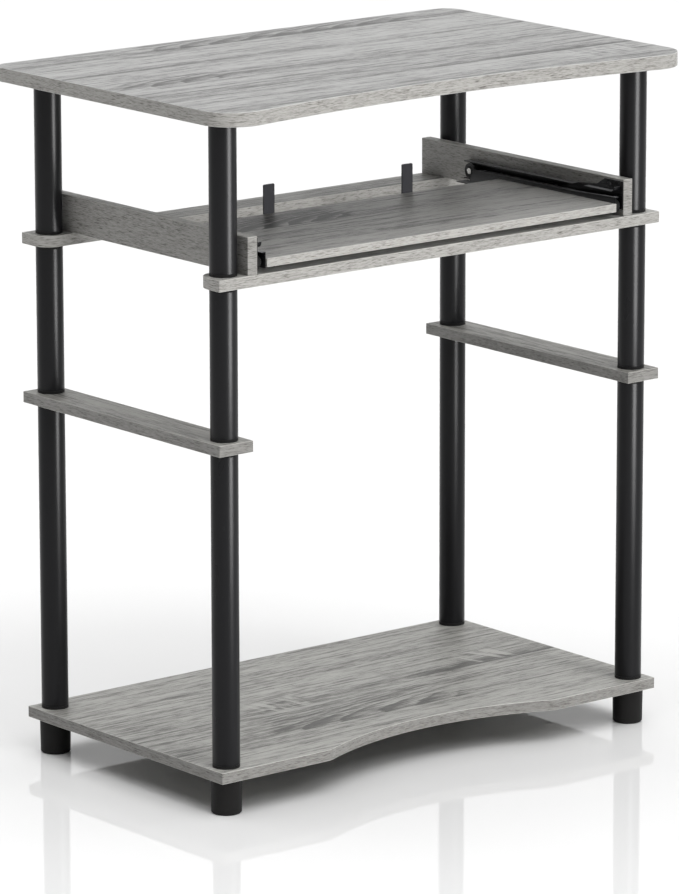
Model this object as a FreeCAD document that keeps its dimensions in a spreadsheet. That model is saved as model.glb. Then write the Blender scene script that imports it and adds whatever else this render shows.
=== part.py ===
"""Computer desk with a sliding keyboard tray, in millimetres.

A bowed desk top and a bowed bottom shelf are stacked on four columns of threaded tubes.
Two side rails and two stretchers are clamped between the tubes.  Two slide panels stand on
the stretchers and carry a pair of roller slides, on which the keyboard tray runs out.

Frame: +X to the right along the front, +Y to the back, +Z up.  The origin lies on the floor
under the middle of the desk top.  The front of the desk faces -Y.
"""
import math
import os
from types import SimpleNamespace

import FreeCAD
import Part
import Sketcher
from FreeCAD import Placement, Rotation, Vector

doc = FreeCAD.newDocument("ComputerDesk")

# ---------------------------------------------------------------- driving dimensions

DIMENSIONS = {
    # boards
    "top_width": 624, "top_depth": 400, "top_thick": 15, "top_bow": 23.5,
    "top_front_radius": 38, "top_back_radius": 22,
    "frame_width": 592, "frame_depth": 336, "board_thick": 12, "arris_radius": 0.6,
    "shelf_bow": 34, "shelf_bow_half": 153, "shelf_blend_radius": 22,
    "stretcher_depth": 40, "stretcher_corner_radius": 20,
    "side_rail_width": 43,
    "panel_inner_x": 246.5, "panel_length": 333, "panel_height": 39.5,
    # tubes, plugs, studs and feet
    "tube_x": 275.5, "tube_y": 148, "tube_radius": 14.3, "tube_wall": 1.6,
    "lower_tube_height": 331, "middle_tube_height": 158, "upper_tube_height": 159,
    "foot_height": 37, "foot_base_radius": 15.9, "foot_top_radius": 16.4, "foot_edge": 1.5,
    "plug_flange": 3, "plug_depth": 16, "plug_slack": 0.05,
    "stud_radius": 5, "stud_grip": 14, "top_stud_grip": 10, "stud_slack": 0.3, "thread_slack": 0.05,
    # keyboard tray and its stops
    "tray_half": 235, "tray_front": -168, "tray_depth": 191, "tray_thick": 9, "tray_lift": 6.2,
    "stop_left_x": -81, "stop_right_x": 107, "stop_width": 14, "stop_rise": 31, "stop_thick": 2,
    "stop_corner": 0.8, "stop_screw_offset": 3.6, "stop_screw_height": 4.5,
    "stop_screw_radius": 1.4, "stop_screw_head_radius": 2.9, "stop_screw_length": 13,
    # roller slides, heights counted from the top of the stretchers
    "slide_front": -166, "slide_length": 250, "steel": 1.2,
    "channel_low": 7.3, "channel_high": 26.8, "channel_inner_x": 237.4,
    "channel_gap_back": -95, "channel_gap_front": -113, "channel_low_front": -148,
    "ear_knee_y": -125, "ear_knee_z": 29.8, "ear_high_y": -138, "ear_high_z": 37.5,
    "curl_y": -156, "curl_radius": 5,
    "runner_flange_x": 243, "runner_nose_x": 240, "runner_high": 19.3, "runner_nose_rise": 2.6,
    "runner_nose_y": -95, "runner_flange_back": 60, "runner_foot_x": 223,
    "rear_roller_y": 72, "rear_roller_z": 16.9, "rear_roller_radius": 8,
    "front_roller_y": -157, "front_roller_z": 11.1, "front_roller_radius": 6.6,
    "roller_width": 5.6, "roller_side_gap": 0.8, "roller_play": 0.1, "roller_ease": 0.4,
    "roller_hub_wall": 1.6, "roller_rim_wall": 1.5, "roller_dish": 0.7, "runner_tail_lip": 0.5,
    "rivet_radius": 2, "rivet_slack": 0.05, "rivet_head_radius": 3.2, "rivet_head": 0.9,
    "stop_tab_height": 4.5, "stop_tab_y": -120.6, "end_tab_y": 79.5,
    # screws
    "screw_radius": 1.75, "screw_head_radius": 3.4, "screw_head": 1.7, "screw_slack": 0.05,
    "bore_spare": 1, "pilot_spare": 0.5,
    "flat_head": 0.9, "rail_screw_length": 9, "rail_screw_rear_y": 30, "rail_screw_mid_y": -60,
    "ear_screw_y": -145, "ear_screw_z": 31.8,
    "tray_screw_x": 229, "tray_screw_length": 8,
    "tray_screw_rear_y": 8, "tray_screw_mid_y": -60, "tray_screw_front_y": -140,
    "panel_screw_radius": 2.5, "panel_screw_head_radius": 4.5, "panel_screw_length": 38,
}

sheet = doc.addObject("Spreadsheet::Sheet", "dims")
for row, (alias, number) in enumerate(DIMENSIONS.items(), start=1):
    sheet.set(f"A{row}", str(number))
    sheet.setAlias(f"A{row}", alias)
doc.recompute()


class Size:
    """A length that carries its number and the sheet expression that gives it."""

    def __init__(self, number, text=None):
        self.number = float(number)
        self.text = text or repr(self.number)

    @staticmethod
    def of(other):
        return other if isinstance(other, Size) else Size(other)

    def __add__(self, other):
        other = Size.of(other)
        return Size(self.number + other.number, f"({self.text} + {other.text})")

    def __sub__(self, other):
        other = Size.of(other)
        return Size(self.number - other.number, f"({self.text} - {other.text})")

    def __mul__(self, other):
        other = Size.of(other)
        return Size(self.number * other.number, f"({self.text} * {other.text})")

    def __truediv__(self, other):
        other = Size.of(other)
        return Size(self.number / other.number, f"({self.text} / {other.text})")

    def __neg__(self):
        return Size(-self.number, f"(-{self.text})")


d = SimpleNamespace(**{name: Size(number, f"dims.{name}") for name, number in DIMENSIONS.items()})
ZERO = Size(0)

# heights of the stack, from the floor up
shelf_z = d.foot_height
lower_tube_z = shelf_z + d.board_thick
side_rail_z = lower_tube_z + d.lower_tube_height
middle_tube_z = side_rail_z + d.board_thick
stretcher_z = middle_tube_z + d.middle_tube_height
deck_z = stretcher_z + d.board_thick
top_z = deck_z + d.upper_tube_height
tray_z = deck_z + d.tray_lift
frame_half_depth = d.frame_depth / 2
tray_back = d.tray_front + d.tray_depth

# ---------------------------------------------------------------- drawing helpers


def place(item, x=ZERO, y=ZERO, z=ZERO, turn=None):
    """Turn an object and tie its position to the sheet."""
    if turn is not None:
        item.Placement = Placement(Vector(), turn)
    for axis, size in zip("xyz", (x, y, z)):
        item.setExpression(f"Placement.Base.{axis}", size.text)
    return item


def new_body(name, **where):
    body = doc.addObject("PartDesign::Body", name)
    body.Label = name
    return place(body, **where)


def new_sketch(body, role="XY_Plane", offset=ZERO):
    """Start a sketch on one of the body's own origin planes, lifted by offset."""
    sketch = body.newObject("Sketcher::SketchObject", f"{body.Name}_sketch")
    plane = next(item for item in body.Origin.OriginFeatures if item.Role == role)
    sketch.AttachmentSupport = [(plane, "")]
    sketch.MapMode = "FlatFace"
    sketch.setExpression("AttachmentOffset.Base.z", offset.text)
    return sketch


def drive(sketch, size, *constraint):
    """Add a dimension whose value follows the sheet."""
    index = sketch.addConstraint(Sketcher.Constraint(*constraint, size.number))
    sketch.setExpression(f"Constraints[{index}]", size.text)


def pin_point(sketch, geometry, vertex, x, y):
    drive(sketch, x, "DistanceX", -1, 1, geometry, vertex)
    drive(sketch, y, "DistanceY", -1, 1, geometry, vertex)


def polygon(sketch, points):
    """Draw a closed outline of straight lines through the given corners."""
    corners = [Vector(x.number, y.number, 0) for x, y in points]
    lines = []
    for start, end in zip(corners, corners[1:] + corners[:1]):
        lines.append(sketch.addGeometry(Part.LineSegment(start, end), False))
    for line, following in zip(lines, lines[1:] + lines[:1]):
        sketch.addConstraint(Sketcher.Constraint("Coincident", line, 2, following, 1))
    for line, (x, y) in zip(lines, points):
        pin_point(sketch, line, 1, x, y)


def rectangle(sketch, left, right, low, high):
    polygon(sketch, [(left, low), (right, low), (right, high), (left, high)])


def circle(sketch, x, y, radius):
    centre = Vector(x.number, y.number, 0)
    ring = sketch.addGeometry(Part.Circle(centre, Vector(0, 0, 1), radius.number), False)
    drive(sketch, radius, "Radius", ring)
    pin_point(sketch, ring, 3, x, y)


def pad(body, sketch, length, backwards=False):
    feature = body.newObject("PartDesign::Pad", f"{body.Name}_pad")
    feature.Profile = sketch
    feature.setExpression("Length", length.text)
    feature.Reversed = backwards
    sketch.Visibility = False
    return feature


def pocket(body, sketch, length=None, backwards=False):
    """Cut a sketch down into the body, through all of it when no length is given."""
    feature = body.newObject("PartDesign::Pocket", f"{body.Name}_pocket")
    feature.Profile = sketch
    feature.Reversed = backwards
    if length is None:
        feature.Type = "ThroughAll"
    else:
        feature.setExpression("Length", length.text)
    return feature


def revolve(body, points):
    """Turn an outline of (radius, height) corners about the body's own Z axis."""
    sketch = new_sketch(body, "XZ_Plane")
    polygon(sketch, points)
    feature = body.newObject("PartDesign::Revolution", f"{body.Name}_revolution")
    feature.Profile = sketch
    feature.ReferenceAxis = (sketch, ["V_Axis"])
    feature.Angle = 360
    return feature


def round_edges(body, radius, wanted):
    """Round every edge of the body's last feature whose two end points pass the test."""
    doc.recompute()
    base = body.Tip
    names = []
    for index, edge in enumerate(base.Shape.Edges, start=1):
        ends = [vertex.Point for vertex in edge.Vertexes]
        if len(ends) == 2 and wanted(ends[0], ends[1]):
            names.append(f"Edge{index}")
    feature = body.newObject("PartDesign::Fillet", f"{body.Name}_fillet")
    feature.Base = (base, names)
    feature.setExpression("Radius", radius.text)
    return feature


def upright_at(*spots):
    """Test for an upright edge that stands over one of the given (x, y) spots."""
    def test(start, end):
        upright = abs(start.z - end.z) > 1 and start.distanceToPoint(end) - abs(start.z - end.z) < 1e-6
        return upright and any(Vector(x, y, start.z).distanceToPoint(start) < 1 for x, y in spots)
    return test


def level(start, end):
    """Test for an edge that lies in a horizontal face."""
    return abs(start.z - end.z) < 1e-6


def mirrored(source, name):
    """Make the left-hand twin of a right-hand piece."""
    twin = doc.addObject("Part::Mirroring", name)
    twin.Label = name
    twin.Source = source
    twin.Normal = Vector(1, 0, 0)
    return twin


def cylinder(name, radius, height, x, y, z, turn=None):
    item = doc.addObject("Part::Cylinder", name)
    item.setExpression("Radius", radius.text)
    item.setExpression("Height", height.text)
    return place(item, x, y, z, turn)


def group(name, members):
    """Put identical loose pieces into one node."""
    node = doc.addObject("Part::Compound", name)
    node.Label = name
    node.Links = members
    return node


PAN_CROWN = 0.75  # the crown's radius, as a share of the pan head's
CROSS_LONG, CROSS_WIDE, CROSS_DEEP = 0.9, 0.22, 0.6  # the cross recess, as shares of the head


def screw(name, spot, turn, radius, length, head_radius, head_height, countersunk=False):
    """A cross-head screw that points along its own +Z, with the bearing face at the spot.

    A pan head stands behind the spot, and a countersunk head lies in front of it.
    """
    shank = doc.addObject("Part::Cylinder", f"{name}_shank")
    shank.setExpression("Radius", radius.text)
    shank.setExpression("Height", length.text)
    head = doc.addObject("Part::Cone", f"{name}_head")
    head.setExpression("Radius1", (head_radius if countersunk else head_radius * PAN_CROWN).text)
    head.setExpression("Radius2", (radius if countersunk else head_radius).text)
    head.setExpression("Height", head_height.text)
    face = ZERO if countersunk else -head_height
    place(head, z=face)
    solid = doc.addObject("Part::Fuse", f"{name}_solid")
    solid.Base, solid.Tool = shank, head
    bars = []
    for axis in "xy":
        bar = doc.addObject("Part::Box", f"{name}_bar_{axis}")
        long_side, short_side = head_radius * CROSS_LONG, head_radius * CROSS_WIDE
        sides = (long_side, short_side) if axis == "x" else (short_side, long_side)
        bar.setExpression("Length", sides[0].text)
        bar.setExpression("Width", sides[1].text)
        bar.setExpression("Height", (head_height * CROSS_DEEP).text)
        place(bar, -sides[0] / 2, -sides[1] / 2, face)
        bars.append(bar)
    cross = doc.addObject("Part::Fuse", f"{name}_cross")
    cross.Base, cross.Tool = bars
    node = doc.addObject("Part::Cut", name)
    node.Base, node.Tool = solid, cross
    return place(node, *spot, turn=turn)


TOWARDS_RIGHT = Rotation(Vector(0, 1, 0), 90)
TOWARDS_LEFT = Rotation(Vector(0, 1, 0), -90)
TOWARDS_FRONT = Rotation(Vector(1, 0, 0), 90)
UPWARDS = Rotation()
SIDES = {"left": -1, "right": 1}
ROWS = {"front": -1, "rear": 1}
CORNERS = [(row, side) for row in ROWS for side in SIDES]

nodes = []

# ---------------------------------------------------------------- boards


def stud_spots():
    return [(d.tube_x * SIDES[side], d.tube_y * ROWS[row]) for row, side in CORNERS]


def drill(body, spots, radius, thick):
    """Drill through holes straight down through a board."""
    sketch = new_sketch(body, offset=thick)
    for x, y in spots:
        circle(sketch, x, y, radius)
    pocket(body, sketch)


def bow(body, thick, depth, centre_y):
    """Scoop the front edge with a circle that bulges back to centre_y."""
    sketch = new_sketch(body, offset=thick)
    circle(sketch, ZERO, centre_y - depth, depth)
    pocket(body, sketch)


stud_hole = d.stud_radius + d.stud_slack

# The desk top's front is one shallow hollow arc that runs into large rounded corners.
top = new_body("desk_top", z=top_z)
outline = new_sketch(top)
half_width, half_depth = d.top_width / 2, d.top_depth / 2
rectangle(outline, -half_width, half_width, -half_depth - d.top_bow, half_depth)
pad(top, outline, d.top_thick)
corner_x = half_width - d.top_front_radius
reach = (corner_x * corner_x + d.top_bow * d.top_bow) / (d.top_bow * 2)
bow_radius = reach - d.top_front_radius
bow(top, d.top_thick, bow_radius, d.top_bow - half_depth)
side_y = -half_depth.number + d.top_bow.number - bow_radius.number
side_y += (bow_radius.number ** 2 - half_width.number ** 2) ** 0.5
round_edges(top, d.top_front_radius, upright_at((half_width.number, side_y), (-half_width.number, side_y)))
back_corners = [(half_width.number, half_depth.number), (-half_width.number, half_depth.number)]
round_edges(top, d.top_back_radius, upright_at(*back_corners))
round_edges(top, d.arris_radius, level)
socket = new_sketch(top)
for spot_x, spot_y in stud_spots():
    circle(socket, spot_x, spot_y, d.stud_radius + d.thread_slack)
pocket(top, socket, d.top_stud_grip + d.thread_slack, backwards=True)
nodes.append(top)

# The bottom shelf is straight in front of the tubes and scooped in the middle.
shelf = new_body("bottom_shelf", z=shelf_z)
outline = new_sketch(shelf)
frame_half = d.frame_width / 2
rectangle(outline, -frame_half, frame_half, -frame_half_depth, frame_half_depth)
pad(shelf, outline, d.board_thick)
scoop_radius = (d.shelf_bow_half * d.shelf_bow_half + d.shelf_bow * d.shelf_bow) / (d.shelf_bow * 2)
bow(shelf, d.board_thick, scoop_radius, d.shelf_bow - frame_half_depth)
lips = [(sign * d.shelf_bow_half.number, -frame_half_depth.number) for sign in (-1, 1)]
round_edges(shelf, d.shelf_blend_radius, upright_at(*lips))
round_edges(shelf, d.arris_radius, level)
drill(shelf, stud_spots(), stud_hole, d.board_thick)
nodes.append(shelf)

# Each stretcher is a narrow board across two tubes, with its two inner corners rounded.
panel_x = d.panel_inner_x + d.board_thick / 2
for row, sign in ROWS.items():
    stretcher = new_body(f"{row}_stretcher", z=stretcher_z)
    outline = new_sketch(stretcher)
    outer_y = frame_half_depth * sign
    inner_y = (frame_half_depth - d.stretcher_depth) * sign
    rectangle(outline, -frame_half, frame_half, *sorted((outer_y, inner_y), key=lambda size: size.number))
    pad(stretcher, outline, d.board_thick)
    inner_corners = [(side * frame_half.number, inner_y.number) for side in (-1, 1)]
    round_edges(stretcher, d.stretcher_corner_radius, upright_at(*inner_corners))
    round_edges(stretcher, d.arris_radius, level)
    drill(stretcher, [(d.tube_x * side, d.tube_y * sign) for side in (-1, 1)], stud_hole, d.board_thick)
    drill(stretcher, [(panel_x * side, d.tube_y * sign) for side in (-1, 1)],
          d.panel_screw_radius + d.screw_slack, d.board_thick)
    for side in (-1, 1):
        sink = stretcher.newObject("PartDesign::SubtractiveCone", f"{row}_sink")
        sink.setExpression("Radius1", (d.panel_screw_head_radius + d.screw_slack).text)
        sink.setExpression("Radius2", (d.panel_screw_radius + d.screw_slack).text)
        sink.setExpression("Height", (d.panel_screw_head_radius - d.panel_screw_radius).text)
        sink.setExpression("Placement.Base.x", (panel_x * side).text)
        sink.setExpression("Placement.Base.y", (d.tube_y * sign).text)
    nodes.append(stretcher)

# A side rail ties the front tube to the rear tube on each side.
side_rail = new_body("side_rail_right", z=side_rail_z)
outline = new_sketch(side_rail)
rail_half = d.side_rail_width / 2
rectangle(outline, d.tube_x - rail_half, d.tube_x + rail_half, -frame_half_depth, frame_half_depth)
pad(side_rail, outline, d.board_thick)
round_edges(side_rail, d.arris_radius, level)
drill(side_rail, [(d.tube_x, d.tube_y), (d.tube_x, -d.tube_y)], stud_hole, d.board_thick)
nodes += [side_rail, mirrored(side_rail, "side_rail_left")]

# A slide panel stands on edge on both stretchers and takes the slide's screws.
rail_screw_spots = [(d.rail_screw_rear_y, d.rear_roller_z), (d.rail_screw_mid_y, d.rear_roller_z),
                    (d.ear_screw_y, d.ear_screw_z)]
slide_panel = new_body("slide_panel_right", z=deck_z)
outline = new_sketch(slide_panel)
panel_half = d.panel_length / 2
rectangle(outline, d.panel_inner_x, d.panel_inner_x + d.board_thick, -panel_half, panel_half)
pad(slide_panel, outline, d.panel_height)
round_edges(slide_panel, d.arris_radius, level)
pilots = new_sketch(slide_panel)
for row_sign in ROWS.values():
    circle(pilots, panel_x, d.tube_y * row_sign, d.panel_screw_radius + d.screw_slack)
pocket(slide_panel, pilots, d.panel_screw_length - d.board_thick + d.bore_spare, backwards=True)
pilots = new_sketch(slide_panel, "YZ_Plane", d.panel_inner_x)
for spot_y, spot_z in rail_screw_spots:
    circle(pilots, spot_y, spot_z, d.screw_radius + d.screw_slack)
pocket(slide_panel, pilots, d.rail_screw_length, backwards=True)
nodes += [slide_panel, mirrored(slide_panel, "slide_panel_left")]

# The keyboard tray is a thinner board, pilot-drilled from below and from its rear edge.
tray_screw_ys = (d.tray_screw_rear_y, d.tray_screw_mid_y, d.tray_screw_front_y)
tray = new_body("keyboard_tray", z=tray_z)
outline = new_sketch(tray)
rectangle(outline, -d.tray_half, d.tray_half, d.tray_front, tray_back)
pad(tray, outline, d.tray_thick)
round_edges(tray, d.arris_radius, level)
pilots = new_sketch(tray)
for side in (-1, 1):
    for spot_y in tray_screw_ys:
        circle(pilots, d.tray_screw_x * side, spot_y, d.screw_radius + d.screw_slack)
pocket(tray, pilots, d.tray_screw_length - d.steel + d.pilot_spare, backwards=True)
stop_xs = {"left": d.stop_left_x, "right": d.stop_right_x}
stop_screw_xs = [x + d.stop_screw_offset * side for x in stop_xs.values() for side in (-1, 1)]
pilots = new_sketch(tray, "XZ_Plane", -tray_back)
for spot_x in stop_screw_xs:
    circle(pilots, spot_x, d.stop_screw_height, d.stop_screw_radius + d.screw_slack)
pocket(tray, pilots, d.stop_screw_length - d.stop_thick + d.pilot_spare, backwards=True)
nodes.append(tray)

# ---------------------------------------------------------------- tube columns

LEVELS = {"lower": (lower_tube_z, d.lower_tube_height), "middle": (middle_tube_z, d.middle_tube_height),
          "upper": (deck_z, d.upper_tube_height)}
bore_radius = d.tube_radius - d.tube_wall


def tube(name, x, y, z, height):
    """A plain tube, shorter than its storey by the two plug flanges."""
    body = new_body(name, x=x, y=y, z=z + d.plug_flange)
    ring = new_sketch(body)
    circle(ring, ZERO, ZERO, d.tube_radius)
    circle(ring, ZERO, ZERO, bore_radius)
    pad(body, ring, height - d.plug_flange * 2)
    return body


def plug(name, x, y, z, upside_down):
    """A flanged end plug with a threaded bore, pressed into a tube's end."""
    flange = cylinder(f"{name}_flange", d.tube_radius, d.plug_flange, ZERO, ZERO, ZERO)
    core_height = d.plug_flange + d.plug_depth
    core = cylinder(f"{name}_core", bore_radius - d.plug_slack, core_height, ZERO, ZERO, ZERO)
    solid = doc.addObject("Part::Fuse", f"{name}_solid")
    solid.Base, solid.Tool = flange, core
    bore_height = d.stud_grip + d.bore_spare
    bore = cylinder(f"{name}_bore", d.stud_radius + d.thread_slack, bore_height, ZERO, ZERO, ZERO)
    item = doc.addObject("Part::Cut", name)
    item.Base, item.Tool = solid, bore
    return place(item, x, y, z, Rotation(Vector(1, 0, 0), 180) if upside_down else UPWARDS)


for storey, (low_z, height) in LEVELS.items():
    plugs = []
    for row, side in CORNERS:
        x, y = d.tube_x * SIDES[side], d.tube_y * ROWS[row]
        nodes.append(tube(f"{storey}_tube_{row}_{side}", x, y, low_z, height))
        plugs.append(plug(f"{storey}_plug_{row}_{side}_low", x, y, low_z, False))
        plugs.append(plug(f"{storey}_plug_{row}_{side}_high", x, y, low_z + height, True))
    nodes.append(group(f"{storey}_tube_plugs", plugs))

# A moulded foot closes each column at the floor: a slightly tapered cup with a threaded bore.
for row, side in CORNERS:
    foot = new_body(f"foot_{row}_{side}", x=d.tube_x * SIDES[side], y=d.tube_y * ROWS[row])
    bore = d.stud_radius + d.thread_slack
    bore_z = d.foot_height - d.stud_grip - d.bore_spare
    revolve(foot, [(ZERO, ZERO), (d.foot_base_radius - d.foot_edge, ZERO),
                   (d.foot_base_radius, d.foot_edge),
                   (d.foot_top_radius, d.foot_height - d.arris_radius),
                   (d.foot_top_radius - d.arris_radius, d.foot_height),
                   (bore, d.foot_height), (bore, bore_z), (ZERO, bore_z)])
    nodes.append(foot)

# Threaded studs pass through each board and draw the tubes above and below it together.
studs = []
for board, board_z in (("shelf", shelf_z), ("rail", side_rail_z), ("stretcher", stretcher_z)):
    for number, (spot_x, spot_y) in enumerate(stud_spots()):
        studs.append(cylinder(f"{board}_stud_{number}", d.stud_radius, d.board_thick + d.stud_grip * 2,
                              spot_x, spot_y, board_z - d.stud_grip))
nodes.append(group("board_studs", studs))
studs = [cylinder(f"top_stud_{number}", d.stud_radius, d.stud_grip + d.top_stud_grip,
                  spot_x, spot_y, top_z - d.stud_grip)
         for number, (spot_x, spot_y) in enumerate(stud_spots())]
nodes.append(group("top_studs", studs))

# ---------------------------------------------------------------- roller slides

slide_back = d.slide_front + d.slide_length
channel_face = d.panel_inner_x - d.steel
runner_face = d.tray_half + d.steel


def plate(body, points, near_x, far_x):
    """Pad an outline of (y, z) corners from near_x to far_x."""
    sketch = new_sketch(body, "YZ_Plane", near_x)
    polygon(sketch, points)
    pad(body, sketch, far_x - near_x)


def bar(body, back_y, front_y, low, high, near_x, far_x):
    """Pad a straight strip that runs along the slide."""
    plate(body, [(front_y, low), (back_y, low), (back_y, high), (front_y, high)], near_x, far_x)


def punch(body, spots, radius, far_x):
    """Punch round holes of (y, z) centres through an upright web."""
    sketch = new_sketch(body, "YZ_Plane", far_x)
    for spot_y, spot_z in spots:
        circle(sketch, spot_y, spot_z, radius)
    pocket(body, sketch, d.steel)


# The fixed member is a channel with a raised front ear, a gap in its upper flange where the
# runner is let in, a curled-up front lip and two stop tabs on its lower flange.
channel = new_body("cabinet_rail_right", z=deck_z)
plate(channel, [(d.slide_front, d.channel_low), (slide_back, d.channel_low), (slide_back, d.channel_high),
                (d.channel_gap_back, d.channel_high), (d.ear_knee_y, d.ear_knee_z),
                (d.ear_high_y, d.ear_high_z), (d.slide_front, d.ear_high_z)], channel_face, d.panel_inner_x)
bar(channel, slide_back, d.channel_low_front, d.channel_low, d.channel_low + d.steel,
    d.channel_inner_x, channel_face)
upper_low = d.channel_high - d.steel
bar(channel, slide_back, d.channel_gap_back, upper_low, d.channel_high, d.channel_inner_x, channel_face)
bar(channel, d.channel_gap_front, d.curl_y, upper_low, d.channel_high, d.channel_inner_x, channel_face)
tab_x = d.channel_inner_x + d.steel
for tab_y in (d.stop_tab_y, d.end_tab_y + d.steel):
    bar(channel, tab_y, tab_y - d.steel, d.channel_low + d.steel,
        d.channel_low + d.steel + d.stop_tab_height, tab_x, channel_face)
curl = new_sketch(channel, "YZ_Plane", d.channel_inner_x)
curl_centre = (d.curl_y, d.channel_high + d.curl_radius)
centre = Vector(curl_centre[0].number, curl_centre[1].number, 0)
arcs = []
for radius in (d.curl_radius, d.curl_radius + d.steel):
    ring = Part.Circle(centre, Vector(0, 0, 1), radius.number)
    arc = curl.addGeometry(Part.ArcOfCircle(ring, math.pi, 1.5 * math.pi), False)
    drive(curl, radius, "Radius", arc)
    pin_point(curl, arc, 3, *curl_centre)
    curl.addConstraint(Sketcher.Constraint("Horizontal", arc, 1, arc, 3))
    curl.addConstraint(Sketcher.Constraint("Vertical", arc, 2, arc, 3))
    arcs.append(arc)
for vertex in (1, 2):
    ends = [curl.getPoint(arc, vertex) for arc in arcs]
    line = curl.addGeometry(Part.LineSegment(*ends), False)
    curl.addConstraint(Sketcher.Constraint("Coincident", line, 1, arcs[0], vertex))
    curl.addConstraint(Sketcher.Constraint("Coincident", line, 2, arcs[1], vertex))
pad(channel, curl, channel_face - d.channel_inner_x)
punch(channel, rail_screw_spots, d.screw_radius + d.screw_slack, d.panel_inner_x)
punch(channel, [(d.front_roller_y, d.front_roller_z)], d.rivet_radius + d.rivet_slack, d.panel_inner_x)
nodes += [channel, mirrored(channel, "cabinet_rail_left")]

# The runner is screwed under the tray: a foot under the board, a web up its end and an
# outward flange that rides over the front roller and ramps up at the nose.
runner = new_body("drawer_rail_right", z=deck_z)
runner_low = d.tray_lift - d.steel
nose_high = d.runner_high + d.runner_nose_rise
plate(runner, [(d.slide_front, runner_low), (d.rear_roller_y, runner_low), (d.rear_roller_y, d.runner_high),
               (d.runner_nose_y, d.runner_high), (d.slide_front, nose_high)], d.tray_half, runner_face)
disc = new_sketch(runner, "YZ_Plane", d.tray_half)
circle(disc, d.rear_roller_y, d.rear_roller_z, d.rear_roller_radius + d.runner_tail_lip)
pad(runner, disc, d.steel)
bar(runner, d.rear_roller_y + d.rear_roller_radius, d.slide_front, runner_low, d.tray_lift,
    d.runner_foot_x, runner_face)
bar(runner, d.runner_flange_back, d.runner_nose_y, d.runner_high - d.steel, d.runner_high,
    d.tray_half, d.runner_flange_x)
plate(runner, [(d.slide_front, nose_high - d.steel), (d.runner_nose_y, d.runner_high - d.steel),
               (d.runner_nose_y, d.runner_high), (d.slide_front, nose_high)], d.tray_half, d.runner_nose_x)
punch(runner, [(d.rear_roller_y, d.rear_roller_z)], d.rivet_radius + d.rivet_slack, runner_face)
feet = new_sketch(runner, offset=d.tray_lift)
for spot_y in tray_screw_ys:
    circle(feet, d.tray_screw_x, spot_y, d.screw_radius + d.screw_slack)
pocket(runner, feet, d.steel)
nodes += [runner, mirrored(runner, "drawer_rail_left")]


def roller(name, radius, x, y, z):
    """A moulded roller with a hub, dished sides and eased rims, turning about the X axis."""
    body = new_body(name, x=x, y=y, z=z, turn=TOWARDS_RIGHT)
    bore = d.rivet_radius + d.rivet_slack
    hub, rim = d.rivet_radius + d.roller_hub_wall, radius - d.roller_rim_wall
    width, dish, ease = d.roller_width, d.roller_dish, d.roller_ease
    revolve(body, [(bore, ZERO), (hub, ZERO), (hub, dish), (rim, dish), (rim, ZERO), (radius - ease, ZERO),
                   (radius, ease), (radius, width - ease), (radius - ease, width), (rim, width),
                   (rim, width - dish), (hub, width - dish), (hub, width), (bore, width)])
    return body


def rivet(name, x, y, z, steps):
    """A headed rivet along +X, as cylinders of (radius, start, end) fused together."""
    pieces = []
    for number, (radius, start, end) in enumerate(steps):
        pieces.append(cylinder(f"{name}_{number}", radius, end - start, start, ZERO, ZERO, TOWARDS_RIGHT))
    solid = doc.addObject("Part::MultiFuse", name)
    solid.Shapes = pieces
    return place(solid, x, y, z)


# The front roller hangs on the fixed channel, and the rear roller on the runner's tail.
front_roller_x = channel_face - d.roller_side_gap - d.roller_play - d.roller_width
rear_roller_x = runner_face + d.roller_side_gap + d.roller_play
front_spot = (d.front_roller_y, deck_z + d.front_roller_z)
rear_spot = (d.rear_roller_y, deck_z + d.rear_roller_z)
front_roller = roller("front_roller_right", d.front_roller_radius, front_roller_x, *front_spot)
rear_roller = roller("rear_roller_right", d.rear_roller_radius, rear_roller_x, *rear_spot)
nodes += [front_roller, mirrored(front_roller, "front_roller_left")]
nodes += [rear_roller, mirrored(rear_roller, "rear_roller_left")]

front_head = front_roller_x - d.roller_play
front_steps = [(d.rivet_head_radius, front_head - d.rivet_head, front_head),
               (d.rivet_radius, front_head, d.panel_inner_x),
               (d.rivet_head_radius, channel_face - d.roller_side_gap, channel_face)]
rear_head = rear_roller_x + d.roller_width + d.roller_play
rear_steps = [(d.rivet_head_radius, d.tray_half - d.rivet_head, d.tray_half),
              (d.rivet_radius, d.tray_half, rear_head),
              (d.rivet_head_radius, runner_face, runner_face + d.roller_side_gap),
              (d.rivet_head_radius, rear_head, rear_head + d.rivet_head)]
for place_name, spot, steps in (("front", front_spot, front_steps), ("rear", rear_spot, rear_steps)):
    right = rivet(f"{place_name}_rivet_right", ZERO, *spot, steps)
    pair = [right, mirrored(right, f"{place_name}_rivet_left")]
    nodes.append(group(f"{place_name}_roller_rivets", pair))

# ---------------------------------------------------------------- keyboard stops

stop_height = d.tray_thick + d.stop_rise
for side, stop_x in stop_xs.items():
    stop = new_body(f"keyboard_stop_{side}", x=stop_x, y=tray_back + d.stop_thick, z=tray_z)
    face = new_sketch(stop, "XZ_Plane")
    half = d.stop_width / 2
    cut = d.stop_corner
    polygon(face, [(-half, ZERO), (half, ZERO), (half, stop_height - cut), (half - cut, stop_height),
                   (cut - half, stop_height), (-half, stop_height - cut)])
    pad(stop, face, d.stop_thick)
    holes = new_sketch(stop, "XZ_Plane")
    for sign in (-1, 1):
        circle(holes, d.stop_screw_offset * sign, d.stop_screw_height, d.stop_screw_radius + d.screw_slack)
    pocket(stop, holes, d.stop_thick, backwards=True)
    nodes.append(stop)

# ---------------------------------------------------------------- screws

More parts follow.
